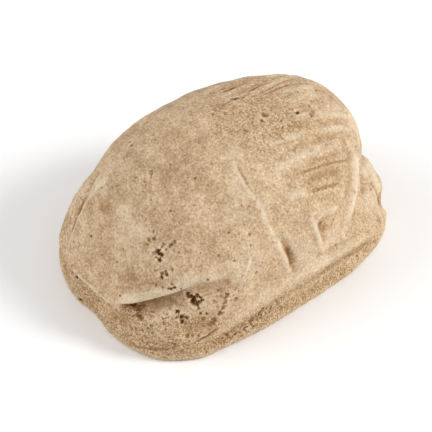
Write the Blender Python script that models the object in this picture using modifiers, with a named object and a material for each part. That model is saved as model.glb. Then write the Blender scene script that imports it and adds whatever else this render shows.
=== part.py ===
"""Scarab amulet: a beetle on its base plate, carved from one small stone, about 20 mm long.

The head points along -Y, the back is up and the flat underside lies on z = 0. Sizes are in millimetres.
"""

import math

import bmesh
import bpy

MM = 0.001

# The stone as a whole.
LENGTH = 20.0
WIDTH = 14.0
HEIGHT = 10.2

# The plan: an oval with a blunt front and rear, widest ahead of the middle and tapering a little behind it.
WIDEST_Y = -0.8
FRONT_REACH = LENGTH / 2 + WIDEST_Y
REAR_REACH = LENGTH / 2 - WIDEST_Y
FRONT_SQUARENESS = 3.3
REAR_SQUARENESS = 2.85
REAR_TAPER = 0.04
TAPER_FROM_Y, TAPER_TO_Y = -2.5, 3.5
FRONT_NOTCH_DEPTH = 0.28
FRONT_NOTCH_RADIUS = 5.0

# The base plate: a lower edge and an upper band, both rounded, with a hollow between them along the sides.
# The band runs lower at the front, where the fore legs cover it, and again towards the rear.
EDGE_RADIUS = 0.6
EDGE_HEIGHT = 0.5
BAND_RADIUS = 0.55
BAND_HEIGHT = 2.5
BAND_INSET = 0.08
BAND_FRONT_DROP, BAND_FRONT_LOW_Y, BAND_FRONT_FULL_Y = 1.0, -7.0, -0.5
BAND_REAR_DROP, BAND_REAR_FULL_Y, BAND_REAR_LOW_Y = 1.4, 3.0, 9.0
HOLLOW_DEPTH, HOLLOW_DEPTH_FRONT = 0.38, 0.1
HOLLOW_FROM_Y, HOLLOW_FULL_Y = -8.0, -4.0

# The back: how its sides, front and rear close in from the seat up to the crown, and its rounder plan there.
SEAT = 1.75
FOOT = 0.95
SIDE_INSET, FRONT_INSET, REAR_INSET = 0.22, 0.02, 1.35
SIDE_RISE, SIDE_CLOSE = 3.4, 0.53
FRONT_RISE, FRONT_CLOSE = 1.57, 0.61
REAR_RISE, REAR_CLOSE = 5.3, 0.33
CROWN_SHIFT = 0.6
CROWN_SQUARENESS = 2.3
BACK_REAR_SQUARENESS = 2.0

# The head and prothorax: one shield, narrow in front, undercut along both edges.
SHIELD_FRONT_Y, SHIELD_REAR_Y = -9.75, -2.0
SHIELD_LEFT_X, SHIELD_RIGHT_X = 3.0, -3.9
SHIELD_HALF_WIDTH = 7.1
SHIELD_FLARE = 1.4
SHIELD_LIP_HEIGHT = 5.3
SHIELD_UNDERCUT = 1.6
SHIELD_STEPS = 13

# The fore legs: a mass that the shield stands over, lower by a share of its height above the seat.
LEG_FRONT_Y, LEG_REAR_Y = -8.2, -3.2
LEG_DROP = 0.42

# The line between prothorax and wing cases, bowed forward beside the crown, and the deep slot on each flank.
DIVISION_Y = -0.6
DIVISION_BOW = 0.9
DIVISION_BOW_AT = 4.2
DIVISION_RADIUS = 0.12
DIVISION_LOW, DIVISION_HIGH = 0.56, 0.995
SLOT_TOP = (-0.75, 0.56)
SLOT_FOOT = (-0.25, 0.2)
SLOT_RADIUS = 0.24

# The leg carved on each flank: a ridge that runs up and then bends back, in (y, height fraction).
LEG_FOOT = (2.1, 0.2)
LEG_KNEE = (1.4, 0.56)
LEG_TIP = (3.8, 0.48)
LEG_RADIUS = 0.2

# The rear legs: a low swelling behind and beside the wing cases, out to the base plate.
REAR_LEG_TOP = 3.9
REAR_LEG_INSET = 0.2
REAR_LEG_FULLNESS = 0.4
REAR_LEG_FROM_Y, REAR_LEG_FULL_Y = 0.5, 4.5

# A carved line is traced finely, then kept as points this far apart.
TRACE_STEPS = 400
LINE_STEP = 0.4

# How fine the worn surface is made.
ROUND_STEPS = 128
GRAIN = 0.12
JOINT_PASSES, WEAR_PASSES = 2, 3
MOST_TRIANGLES = 9000


def signed_power(value, exponent):
    return math.copysign(abs(value) ** exponent, value)


def smoothstep(low, high, value):
    part = min(max((value - low) / (high - low), 0.0), 1.0)
    return part * part * (3 - 2 * part)


def outline(turn, inset=0.0):
    """The base plate's plan at an angle from +X, drawn in by the inset."""
    across, along = math.cos(turn), math.sin(turn)
    squareness = FRONT_SQUARENESS if along < 0 else REAR_SQUARENESS
    reach = FRONT_REACH if along < 0 else REAR_REACH
    y = WIDEST_Y + (reach - inset) * signed_power(along, 2 / squareness)
    taper = 1 - REAR_TAPER * smoothstep(TAPER_FROM_Y, TAPER_TO_Y, y)
    x = (WIDTH / 2 * taper - inset) * signed_power(across, 2 / squareness)
    return x, y


def back_plan(rise, along):
    """Centre station, half width, reach and squareness of the back at a fraction of its height."""
    centre = WIDEST_Y + CROWN_SHIFT * rise
    half = (WIDTH / 2 - SIDE_INSET) * (1 - rise**SIDE_RISE) ** SIDE_CLOSE
    if along < 0:
        reach = (LENGTH / 2 + centre - FRONT_INSET) * (1 - rise**FRONT_RISE) ** FRONT_CLOSE
        return centre, half, reach, FRONT_SQUARENESS + (CROWN_SQUARENESS - FRONT_SQUARENESS) * rise
    reach = (LENGTH / 2 - centre - REAR_INSET) * (1 - rise**REAR_RISE) ** REAR_CLOSE
    return centre, half, reach, BACK_REAR_SQUARENESS


def back_point(turn, rise):
    """A point of the back, by its angle from +X and its fraction of the height."""
    across, along = math.cos(turn), math.sin(turn)
    centre, half, reach, squareness = back_plan(rise, along)
    x = half * signed_power(across, 2 / squareness)
    y = centre + reach * signed_power(along, 2 / squareness)
    return x, y, SEAT + (HEIGHT - SEAT) * rise


def flank_point(side, y, rise):
    """The point of the back at this station and height fraction, on the side given as 1 or -1."""
    along = y - WIDEST_Y - CROWN_SHIFT * rise
    _centre, half, reach, squareness = back_plan(rise, along)
    part = min(abs(along) / reach, 1.0)
    x = side * half * (1 - part**squareness) ** (1 / squareness)
    return x, y, SEAT + (HEIGHT - SEAT) * rise


def place(vertex, x, y, z):
    vertex.co = (x * MM, y * MM, z * MM)


def clear_scene():
    for thing in list(bpy.data.objects):
        bpy.data.objects.remove(thing, do_unlink=True)


def collection(name):
    made = bpy.data.collections.new(name)
    bpy.context.scene.collection.children.link(made)
    return made


def keep_in(home, obj, name):
    for other in list(obj.users_collection):
        other.objects.unlink(obj)
    home.objects.link(obj)
    obj.name = name
    obj.data.name = name
    return obj


def band_height(y):
    """How high the middle of the upper band runs at a station."""
    front = 1 - smoothstep(BAND_FRONT_LOW_Y, BAND_FRONT_FULL_Y, y)
    rear = smoothstep(BAND_REAR_FULL_Y, BAND_REAR_LOW_Y, y)
    return BAND_HEIGHT - BAND_FRONT_DROP * front - BAND_REAR_DROP * rear


def edge_height(_y):
    return EDGE_HEIGHT


def ring_moulding(home, name, radius, inset, height_at):
    """A rounded moulding that follows the outline: a torus laid along it."""
    thin = 0.25
    bpy.ops.mesh.primitive_torus_add(
        major_segments=ROUND_STEPS, minor_segments=20, major_radius=1.0, minor_radius=thin
    )
    obj = keep_in(home, bpy.context.object, name)
    for vertex in obj.data.vertices:
        x, y, z = vertex.co
        outward = (math.hypot(x, y) - 1.0) / thin * radius
        px, py = outline(math.atan2(y, x), inset + radius - outward)
        place(vertex, px, py, height_at(py) + z / thin * radius)
    return obj


def core(home):
    """The plate inside the two mouldings."""
    bpy.ops.mesh.primitive_cylinder_add(vertices=ROUND_STEPS, radius=1.0, depth=2.0)
    obj = keep_in(home, bpy.context.object, "core")
    low = EDGE_HEIGHT - EDGE_RADIUS
    for vertex in obj.data.vertices:
        turn = math.atan2(vertex.co.y, vertex.co.x)
        behind = smoothstep(HOLLOW_FROM_Y, HOLLOW_FULL_Y, outline(turn)[1])
        x, y = outline(turn, HOLLOW_DEPTH_FRONT + (HOLLOW_DEPTH - HOLLOW_DEPTH_FRONT) * behind)
        place(vertex, x, y, low if vertex.co.z < 0 else band_height(y) + BAND_RADIUS)
    return obj


def back(home, name, leg_drop):
    """The back as one swelling form. With a leg drop its front is pressed down into the fore legs."""
    bpy.ops.mesh.primitive_uv_sphere_add(segments=ROUND_STEPS, ring_count=64, radius=1.0)
    obj = keep_in(home, bpy.context.object, name)
    for vertex in obj.data.vertices:
        x, y, z = vertex.co
        px, py, pz = back_point(math.atan2(y, x), min(max(z, 0.0), 0.9999))
        if z < 0:
            shrink = math.hypot(x, y)
            px, py, pz = px * shrink, WIDEST_Y + (py - WIDEST_Y) * shrink, FOOT
        low = leg_drop * (1 - smoothstep(LEG_FRONT_Y, LEG_REAR_Y, py))
        place(vertex, px, py, pz - max(pz - SEAT, 0.0) * low)
    return obj


def mesh_from_curve(home, curve, name):
    """A curve's shape as a closed mesh object with its caps welded on."""
    holder = bpy.data.objects.new(name + "_curve", curve)
    home.objects.link(holder)
    graph = bpy.context.evaluated_depsgraph_get()
    mesh = bpy.data.meshes.new_from_object(holder.evaluated_get(graph))
    bpy.data.objects.remove(holder, do_unlink=True)
    work = bmesh.new()
    work.from_mesh(mesh)
    bmesh.ops.remove_doubles(work, verts=work.verts, dist=0.00001)
    bmesh.ops.recalc_face_normals(work, faces=work.faces)
    work.to_mesh(mesh)
    work.free()
    obj = bpy.data.objects.new(name, mesh)
    home.objects.link(obj)
    return obj


def shield_edge(corner_x, side):
    """One edge of the shield in plan, from its front corner back to the flank."""
    points = []
    for step in range(SHIELD_STEPS):
        part = step / (SHIELD_STEPS - 1)
        y = SHIELD_FRONT_Y + (SHIELD_REAR_Y - SHIELD_FRONT_Y) * part
        flare = 1 - (1 - part) ** SHIELD_FLARE
        points.append((corner_x + (side * SHIELD_HALF_WIDTH - corner_x) * flare, y))
    points.append((side * (SHIELD_HALF_WIDTH + SHIELD_UNDERCUT), LENGTH))
    return points


def shield_block(home):
    """The plan of the shield as an upright block, narrower below so that its edges overhang."""
    curve = bpy.data.curves.new("shield_plan", "CURVE")
    curve.dimensions = "2D"
    curve.fill_mode = "BOTH"
    curve.extrude = SHIELD_LIP_HEIGHT * MM
    points = shield_edge(SHIELD_LEFT_X, 1) + shield_edge(SHIELD_RIGHT_X, -1)[::-1]
    spline = curve.splines.new("POLY")
    spline.points.add(len(points) - 1)
    for point, (x, y) in zip(spline.points, points):
        point.co = (x * MM, y * MM, 0, 1)
    spline.use_cyclic_u = True
    obj = mesh_from_curve(home, curve, "shield_block")
    for vertex in obj.data.vertices:
        lean = math.copysign(SHIELD_UNDERCUT * MM, vertex.co.x * vertex.co.z)
        vertex.co.x += lean
        vertex.co.z += SHIELD_LIP_HEIGHT * MM
    return obj


def tube(home, name, points, radius):
    """A round bar along a line of points."""
    curve = bpy.data.curves.new(name, "CURVE")
    curve.dimensions = "3D"
    curve.bevel_depth = radius * MM
    curve.bevel_resolution = 3
    curve.use_fill_caps = True
    spline = curve.splines.new("POLY")
    spline.points.add(len(points) - 1)
    for point, (x, y, z) in zip(spline.points, points):
        point.co = (x * MM, y * MM, z * MM, 1)
    return mesh_from_curve(home, curve, name)


def put_in_order(obj):
    """Gives points and faces one fixed order after a Boolean, so that every run makes the same stone."""
    points = [tuple(vertex.co) for vertex in obj.data.vertices]
    order = sorted(range(len(points)), key=points.__getitem__)
    rank = {old: new for new, old in enumerate(order)}
    faces = []
    for polygon in obj.data.polygons:
        loop = [rank[index] for index in polygon.vertices]
        first = loop.index(min(loop))
        faces.append(loop[first:] + loop[:first])
    obj.data.clear_geometry()
    obj.data.from_pydata([points[index] for index in order], [], sorted(faces))
    obj.data.update()


def apply_boolean(obj, other, operation):
    modifier = obj.modifiers.new(operation.lower(), "BOOLEAN")
    modifier.operation = operation
    modifier.object = other
    apply_modifiers(obj)
    put_in_order(obj)


def apply_modifiers(obj):
    bpy.ops.object.select_all(action="DESELECT")
    obj.select_set(True)
    bpy.context.view_layer.objects.active = obj
    for modifier in list(obj.modifiers):
        bpy.ops.object.modifier_apply(modifier=modifier.name)


def join(target, others):
    bpy.ops.object.select_all(action="DESELECT")
    for obj in others + [target]:
        obj.select_set(True)
    bpy.context.view_layer.objects.active = target
    bpy.ops.object.join()


def fuse(obj, passes):
    """Makes one even skin of all that overlaps, softened as by wear."""
    remesh = obj.modifiers.new("fuse", "REMESH")
    remesh.mode = "VOXEL"
    remesh.voxel_size = GRAIN * MM
    smooth = obj.modifiers.new("wear", "SMOOTH")
    smooth.factor = 0.5
    smooth.iterations = passes
    apply_modifiers(obj)


def as_cutter(obj):
    obj.hide_render = True
    obj.display_type = "WIRE"
    return obj


def even_steps(points):
    """The same line with its points LINE_STEP apart."""
    kept = [points[0]]
    for point in points[1:]:
        if math.dist(point, kept[-1]) >= LINE_STEP:
            kept.append(point)
    return kept


def division_line():
    """Points over the back from flank to flank along the line between prothorax and wing cases."""
    left, right = [], []
    for step in range(TRACE_STEPS):
        rise = DIVISION_LOW + (DIVISION_HIGH - DIVISION_LOW) * step / (TRACE_STEPS - 1)
        for side, line in ((1, left), (-1, right)):
            x, _y, _z = flank_point(side, DIVISION_Y, rise)
            bow = DIVISION_BOW * math.sin(min(abs(x) / DIVISION_BOW_AT, 2.0) * math.pi / 2)
            line.append(flank_point(side, DIVISION_Y - bow, rise))
    return even_steps(left + right[::-1])


def flank_line(side, *stops):
    """A line on the flank through stops given as (y, height fraction)."""
    points = []
    for (y0, rise0), (y1, rise1) in zip(stops, stops[1:]):
        for step in range(TRACE_STEPS):
            part = step / TRACE_STEPS
            points.append(flank_point(side, y0 + (y1 - y0) * part, rise0 + (rise1 - rise0) * part))
    points.append(flank_point(side, *stops[-1]))
    return even_steps(points)


def rear_legs(home):
    """The low swelling round the rear: a flattened ball laid inside the outline."""
    bpy.ops.mesh.primitive_uv_sphere_add(segments=ROUND_STEPS, ring_count=32, radius=1.0)
    obj = keep_in(home, bpy.context.object, "rear_legs")
    for vertex in obj.data.vertices:
        x, y, z = vertex.co
        size = math.hypot(x, y) ** REAR_LEG_FULLNESS
        px, py = outline(math.atan2(y, x), REAR_LEG_INSET)
        px, py = px * size, WIDEST_Y + (py - WIDEST_Y) * size
        behind = smoothstep(REAR_LEG_FROM_Y, REAR_LEG_FULL_Y, py)
        top = SEAT + (REAR_LEG_TOP - SEAT) * behind
        place(vertex, px, py, SEAT + z * (top - SEAT if z > 0 else 1.0))
    return obj


def front_notch(home):
    """An upright cylinder that scoops the front edge a little."""
    y = -LENGTH / 2 - FRONT_NOTCH_RADIUS + FRONT_NOTCH_DEPTH
    bpy.ops.mesh.primitive_cylinder_add(
        vertices=96,
        radius=FRONT_NOTCH_RADIUS * MM,
        depth=3 * MM,
        location=(0, y * MM, 0.5 * MM),
    )
    return as_cutter(keep_in(home, bpy.context.object, "front_notch"))


def true_up(obj):
    """Brings the worn form back to its full length, width and height, centred over the origin."""
    points = [vertex.co for vertex in obj.data.vertices]
    low = [min(point[axis] for point in points) for axis in range(2)]
    high = [max(point[axis] for point in points) for axis in range(2)]
    top = max(point.z for point in points)
    for point in points:
        for axis, size in enumerate((WIDTH, LENGTH)):
            middle = (low[axis] + high[axis]) / 2
            point[axis] = (point[axis] - middle) * size * MM / (high[axis] - low[axis])
        point.z *= HEIGHT * MM / top


def cut_flat(obj):
    """Cuts the underside flat at z = 0 and closes it with one face."""
    work = bmesh.new()
    work.from_mesh(obj.data)
    parts = work.verts[:] + work.edges[:] + work.faces[:]
    cut = bmesh.ops.bisect_plane(
        work, geom=parts, dist=1e-7, plane_co=(0, 0, 0), plane_no=(0, 0, -1), clear_outer=True
    )
    rim = [item for item in cut["geom_cut"] if isinstance(item, bmesh.types.BMEdge)]
    bmesh.ops.contextual_create(work, geom=rim)
    bmesh.ops.recalc_face_normals(work, faces=work.faces)
    work.to_mesh(obj.data)
    work.free()


def stone():
    material = bpy.data.materials.new("stone")
    material.use_nodes = True
    shader = material.node_tree.nodes["Principled BSDF"]
    shader.inputs["Base Color"].default_value = (0.56, 0.42, 0.27, 1)
    shader.inputs["Roughness"].default_value = 0.75
    shader.inputs["Metallic"].default_value = 0.0
    return material


def scarab(home, cutters):
    """The whole carving: base plate, fore legs, shield and wing cases fused into one stone."""
    shell = back(home, "scarab", 0.0)
    plan = as_cutter(shield_block(cutters))
    apply_boolean(shell, plan, "INTERSECT")
    masses = [
        back(home, "fore_legs", LEG_DROP),
        ring_moulding(home, "edge", EDGE_RADIUS, 0.0, edge_height),
        ring_moulding(home, "band", BAND_RADIUS, BAND_INSET, band_height),
        core(home),
        rear_legs(home),
    ]
    for side in (1, -1):
        line = flank_line(side, LEG_FOOT, LEG_KNEE, LEG_TIP)
        masses.append(tube(home, f"leg_{side}", line, LEG_RADIUS))
    join(shell, masses)
    fuse(shell, JOINT_PASSES)
    apply_boolean(shell, front_notch(cutters), "DIFFERENCE")
    groove = as_cutter(tube(cutters, "division", division_line(), DIVISION_RADIUS))
    apply_boolean(shell, groove, "DIFFERENCE")
    for side in (1, -1):
        slot = tube(cutters, f"slot_{side}", flank_line(side, SLOT_TOP, SLOT_FOOT), SLOT_RADIUS)
        apply_boolean(shell, as_cutter(slot), "DIFFERENCE")
    fuse(shell, WEAR_PASSES)
    thin = shell.modifiers.new("thin", "DECIMATE")
    thin.ratio = MOST_TRIANGLES / (2 * len(shell.data.polygons))
    apply_modifiers(shell)
    true_up(shell)
    cut_flat(shell)
    shell.data.materials.clear()
    shell.data.materials.append(stone())
    shell.data.shade_smooth()
    return shell


def main():
    clear_scene()
    scarab(collection("scarab_amulet"), collection("cutters"))


if __name__ == "__main__":
    main()
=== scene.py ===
# %% [markdown]
# # A worn stone scarab
# This notebook makes one small beetle carved from a single stone. It starts from the plain solid, which
# has the right outline and size, and treats a copy of it the way a carver and long wear would: the big
# forms first, then the cut lines, then pits, dirt and grain.

# %% Load the plain solid
import math

import bpy
import numpy as np
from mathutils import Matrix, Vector, noise
from mathutils.bvhtree import BVHTree


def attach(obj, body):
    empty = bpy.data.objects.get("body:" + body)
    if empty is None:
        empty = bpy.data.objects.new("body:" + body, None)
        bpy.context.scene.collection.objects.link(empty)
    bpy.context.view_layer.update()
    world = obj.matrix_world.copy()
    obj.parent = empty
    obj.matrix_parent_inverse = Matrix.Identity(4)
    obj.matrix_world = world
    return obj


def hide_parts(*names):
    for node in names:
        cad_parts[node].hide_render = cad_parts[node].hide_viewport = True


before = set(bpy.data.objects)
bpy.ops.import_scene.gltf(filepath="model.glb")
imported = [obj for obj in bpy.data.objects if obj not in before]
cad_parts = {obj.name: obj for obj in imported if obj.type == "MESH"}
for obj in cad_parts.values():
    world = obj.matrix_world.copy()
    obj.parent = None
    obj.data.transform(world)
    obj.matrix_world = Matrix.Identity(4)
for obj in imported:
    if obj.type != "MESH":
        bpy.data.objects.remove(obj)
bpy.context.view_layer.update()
MM = 0.001

# %% [markdown]
# ## The camera
# The beetle is seen from its front left and from well above. A long lens keeps near and far edges at almost
# the same scale; a short one would swell the head. The camera looks at a point a little ahead of the middle.

# %% Place the camera
CAMERA_AZIMUTH = math.radians(53.4)
CAMERA_ELEVATION = math.radians(46.2)
CAMERA_DISTANCE = 240 * MM
CAMERA_LENS = 337
CAMERA_SENSOR = 36
CAMERA_AIM = Vector((0.45, -1.2, 3.65)) * MM

flat_reach = math.cos(CAMERA_ELEVATION)
toward_camera = Vector(
    (
        math.sin(CAMERA_AZIMUTH) * flat_reach,
        -math.cos(CAMERA_AZIMUTH) * flat_reach,
        math.sin(CAMERA_ELEVATION),
    )
)
bpy.ops.object.camera_add(location=CAMERA_AIM + toward_camera * CAMERA_DISTANCE)
camera = bpy.context.object
camera.name = "camera"
camera.rotation_euler = toward_camera.to_track_quat("Z", "Y").to_euler()
camera.data.sensor_width = CAMERA_SENSOR
camera.data.lens = CAMERA_LENS
camera.data.clip_start = 1 * MM
camera.data.clip_end = 10000 * MM
bpy.context.scene.camera = camera
print("camera at, mm:", [round(value / MM, 1) for value in camera.location])

# %% [markdown]
# ## A copy on the bench
# The plain solid stays as it is. A copy is scaled up so that one unit is one millimetre, which keeps every
# number below readable, and its loose triangles are merged into one skin.

# %% Copy the solid and work in millimetres
MERGE_DISTANCE = 0.001


def select_only(obj):
    """Leaves one object selected and active."""
    bpy.ops.object.select_all(action="DESELECT")
    obj.select_set(True)
    bpy.context.view_layer.objects.active = obj


select_only(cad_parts["scarab"])
bpy.ops.object.duplicate()
stone = bpy.context.object
stone.name = "stone_scarab"
stone.parent = None
stone.scale = (1 / MM, 1 / MM, 1 / MM)
bpy.ops.object.transform_apply(location=True, rotation=True, scale=True)
bpy.ops.object.mode_set(mode="EDIT")
bpy.ops.mesh.select_all(action="SELECT")
bpy.ops.mesh.remove_doubles(threshold=MERGE_DISTANCE)
bpy.ops.object.mode_set(mode="OBJECT")
print("copy:", len(stone.data.vertices), "points,", len(stone.data.polygons), "faces")

# %% [markdown]
# ## An even skin
# The plain solid's faces are wider than the finest cuts, and long in places. Subdividing them would keep
# them uneven, so a voxel remesh lays a new skin of even squares over the stone, each about half as wide as
# the finest cut. Smoothing then takes out the small stairs that the squares leave.

# %% Give it an even skin
SQUARE_SIZE = 0.08
SOFTENING_FACTOR = 0.5
FIRST_SOFTENING = 40
LATER_SOFTENING = 2


def even_skin(size, soften_steps):
    """Rebuilds the skin in even squares of this size, then relaxes it."""
    remesh = stone.modifiers.new("even_skin", "REMESH")
    remesh.mode = "VOXEL"
    remesh.voxel_size = size
    soften = stone.modifiers.new("soften", "SMOOTH")
    soften.factor = SOFTENING_FACTOR
    soften.iterations = soften_steps
    select_only(stone)
    bpy.ops.object.modifier_apply(modifier=remesh.name)
    bpy.ops.object.modifier_apply(modifier=soften.name)
    print("even skin:", len(stone.data.vertices), "points at", size, "mm")


even_skin(SQUARE_SIZE, FIRST_SOFTENING)

# %% [markdown]
# ## Tools for carving
# A sculptor's brush moves many points a little. The same is done here with arrays: every tool below works
# out how far each point is from a line or a spot, and pushes it along the surface's own direction. Carving
# by hand with a sculpting program would give the same forms, but nobody could run it again; a height
# picture would need the round stone laid out flat. Lines in space need neither.

# %% Read, write and move the points
def read(sequence, name):
    """One row of three numbers for each point."""
    values = np.empty(len(sequence) * 3, dtype=np.float32)
    sequence.foreach_get(name, values)
    return values.reshape(-1, 3).astype(float)


def pick_up():
    """Takes the stone's points and directions into arrays, with clean values for dirt and painted shade, wear
    and painted highlight, and roughness.
    """
    global points, normals, skin, soil_and_shade, worn, rough
    points = read(stone.data.vertices, "co")
    normals = read(stone.data.vertex_normals, "vector")
    polygons = [tuple(polygon.vertices) for polygon in stone.data.polygons]
    skin = BVHTree.FromPolygons([Vector(point) for point in points], polygons)
    soil_and_shade, worn, rough = (np.zeros(len(points)) for _ in range(3))
    print("picked up:", len(points), "points")


def put_down():
    """Writes the moved points back, with the underside kept on the ground."""
    points[:, 2] = np.maximum(points[:, 2], 0.0)
    stone.data.vertices.foreach_set("co", points.astype(np.float32).ravel())
    stone.data.update()
    print("put down, highest point at", round(float(points[:, 2].max()), 2), "mm")


def push(index, amount):
    """Moves these points outwards by an amount each."""
    points[index] += normals[index] * np.asarray(amount)[:, None]


pick_up()

# %% Lines and spots on the surface
LINE_STEP = 0.1
SHORTEST_STEP = 1e-6


def on_skin(place):
    """The surface point nearest to a place."""
    return np.array(skin.find_nearest(Vector(place))[0])


def flowing(stops):
    """A smooth line on the surface through a few stops."""
    stops = np.array(stops, dtype=float)
    ends = np.vstack([2 * stops[0] - stops[1], stops, 2 * stops[-1] - stops[-2]])
    line = []
    for a, b, c, d in zip(ends, ends[1:], ends[2:], ends[3:]):
        count = max(2, int(np.linalg.norm(c - b) / LINE_STEP))
        for t in np.linspace(0, 1, count, endpoint=False):
            bend = (c - a) * t + (2 * a - 5 * b + 4 * c - d) * t**2 + (3 * b - a - 3 * c + d) * t**3
            line.append(on_skin(b + 0.5 * bend))
    line.append(on_skin(stops[-1]))
    return np.array(line)


def along_line(line, reach):
    """The points within reach of a line: which, how far to its left, and how far along it."""
    near = np.all((points > line.min(0) - reach) & (points < line.max(0) + reach), axis=1)
    index = np.flatnonzero(near)
    place, facing = points[index], normals[index]
    nearest = np.full(len(index), np.inf)
    left, along = np.zeros(len(index)), np.zeros(len(index))
    lengths = np.linalg.norm(np.diff(line, axis=0), axis=1)
    starts = np.concatenate([[0], np.cumsum(lengths)])
    for start, length, a, b in zip(starts, lengths, line[:-1], line[1:]):
        if length < SHORTEST_STEP:
            continue
        direction = (b - a) / length
        part = np.clip((place - a) @ direction, 0, length)
        offset = place - a - part[:, None] * direction
        distance = np.linalg.norm(offset, axis=1)
        closer = distance < nearest
        leftward = np.cross(facing, direction)
        nearest[closer] = distance[closer]
        left[closer] = np.sum(offset * leftward, axis=1)[closer]
        along[closer] = (start + part)[closer]
    kept = nearest < reach
    return index[kept], left[kept], along[kept] / starts[-1]


def fade_in(value, low, high):
    """0 below low, 1 above high, and a soft climb between."""
    part = np.clip((value - low) / (high - low), 0, 1)
    return part * part * (3 - 2 * part)


def fade_ends(along, lead_in, lead_out):
    """1 in the middle of a stroke, 0 at its ends."""
    start = fade_in(along, 0, lead_in) if lead_in else 1
    end = fade_in(1 - along, 0, lead_out) if lead_out else 1
    return start * end


def uneven(index, size, seed):
    """Noise from -1 to 1 at these points, with lumps of the given size."""
    shift = Vector((seed * 17.3, seed * 5.1, seed * 9.7))
    return np.array([noise.noise(Vector(place) / size + shift) for place in points[index]]) * 2


def mark(values, index, amount):
    """Lays dirt or painted shade, wear or painted highlight, or roughness on these points, keeping whatever
    is stronger.
    """
    values[index] = np.maximum(values[index], amount)


print("top of the shell at, mm:", on_skin((0, 0, 11)).round(2))

# %% The brushes
GROOVE_REACH = 2.5
PIT_REACH = 1.8
PATCH_REACH = 1.4


def groove(stops, width, depth, ends=(0.2, 0.2), dirt_and_shade=0.0):
    """A rounded cut along a line, with dirt, or in places painted shade, lying in it."""
    index, left, along = along_line(flowing(stops), width * GROOVE_REACH)
    bed = np.exp(-((left / width) ** 2)) * fade_ends(along, *ends)
    push(index, -depth * bed)
    mark(soil_and_shade, index, dirt_and_shade * bed)


def ridge(stops, width, height, ends=(0.2, 0.2), shine_and_highlight=0.0):
    """A rounded rib along a line, rubbed pale by wear, or in places painted pale as a highlight."""
    index, left, along = along_line(flowing(stops), width * GROOVE_REACH)
    crest = np.exp(-((left / width) ** 2)) * fade_ends(along, *ends)
    push(index, height * crest)
    mark(worn, index, shine_and_highlight * crest)


def ledge(stops, drop, reach, edge=0.06, ends=(0.2, 0.2), dirt_and_shade=0.0):
    """Cuts the surface down on the line's right: a steep step, then a floor that runs out over the reach."""
    index, left, along = along_line(flowing(stops), reach)
    below = fade_in(-left, -edge, edge) * (1 - fade_in(-left, edge, reach)) * fade_ends(along, *ends)
    push(index, -drop * below)
    mark(soil_and_shade, index, dirt_and_shade * below)


def flare(stops, rise, width, ends=(0.2, 0.2), shine_and_highlight=0.0):
    """Tilts a flat strip on the line's left so that it climbs to the line."""
    index, left, along = along_line(flowing(stops), width * 1.1)
    strip = np.clip(1 - left / width, 0, 1) * fade_in(left, -0.05, 0.0) * fade_ends(along, *ends)
    push(index, rise * strip)
    mark(worn, index, shine_and_highlight * (strip > 0.02) * fade_ends(along, *ends))


def swell(centre, radius, amount):
    """Raises a round patch, or presses it down when the amount is negative."""
    distance = np.linalg.norm(points - np.array(centre), axis=1)
    index = np.flatnonzero(distance < radius)
    push(index, amount * (1 - (distance[index] / radius) ** 2) ** 2)


def pit(centre, radius, depth, dirt_and_shade, ragged=0.4):
    """A small broken hole with uneven edges and dark dirt in it."""
    distance = np.linalg.norm(points - on_skin(centre), axis=1) / radius
    index = np.flatnonzero(distance < PIT_REACH)
    out = distance[index] + ragged * uneven(index, radius * 0.8, seed=centre[0])
    hole = 1 - fade_in(out, 0.55, 1.3)
    push(index, -depth * hole)
    mark(soil_and_shade, index, dirt_and_shade * hole)


def patch(values, centre, radius, amount):
    """Lays a soft round patch of dirt or painted shade, wear or painted highlight, or roughness."""
    distance = np.linalg.norm(points - np.array(centre), axis=1) / radius
    index = np.flatnonzero(distance < PATCH_REACH)
    out = distance[index] + 0.5 * uneven(index, radius * 0.6, seed=centre[1])
    mark(values, index, amount * (1 - fade_in(out, 0, 1.1)))


def mirrored(stops):
    """The same stops on the beetle's other side."""
    return [(-x, y, z) for x, y, z in stops]


print("brushes: groove, ridge, ledge, flare, swell, pit, patch")

# %% The rubbing cloth
def relaxed(steps):
    """Where the points would lie if the skin were smoothed this many times."""
    ends = np.empty(len(stone.data.edges) * 2, dtype=np.int32)
    stone.data.edges.foreach_get("vertices", ends)
    a, b = ends.reshape(-1, 2).T
    count = len(points)
    neighbours = np.bincount(a, minlength=count) + np.bincount(b, minlength=count)
    place = points.copy()
    for _ in range(steps):
        for axis in range(3):
            total = np.bincount(a, place[b, axis], count) + np.bincount(b, place[a, axis], count)
            place[:, axis] = total / neighbours
    return place


def rub(stops, reach, steps):
    """Rounds the skin off near a line, as handling does."""
    index, left, along = along_line(flowing(stops), reach)
    weight = (1 - fade_in(np.abs(left), 0.4 * reach, reach))[:, None]
    points[index] += weight * (relaxed(steps)[index] - points[index])


print("one rub moves a point at most, mm:", round(float(np.abs(relaxed(1) - points).max()), 4))

# %% [markdown]
# ## The big forms
# The real beetle is one lump in which a few soft steps part the head, the shell and the base plate: the lip
# of the head's plate over the front of the base, a notch and a bent leg on each side, and the back edge of
# the wing cases. Separate solids joined together would show hard seams. Here the one skin is swollen,
# pressed and stepped along lines, so that every form stays as soft as in stone handled for ages.

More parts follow.
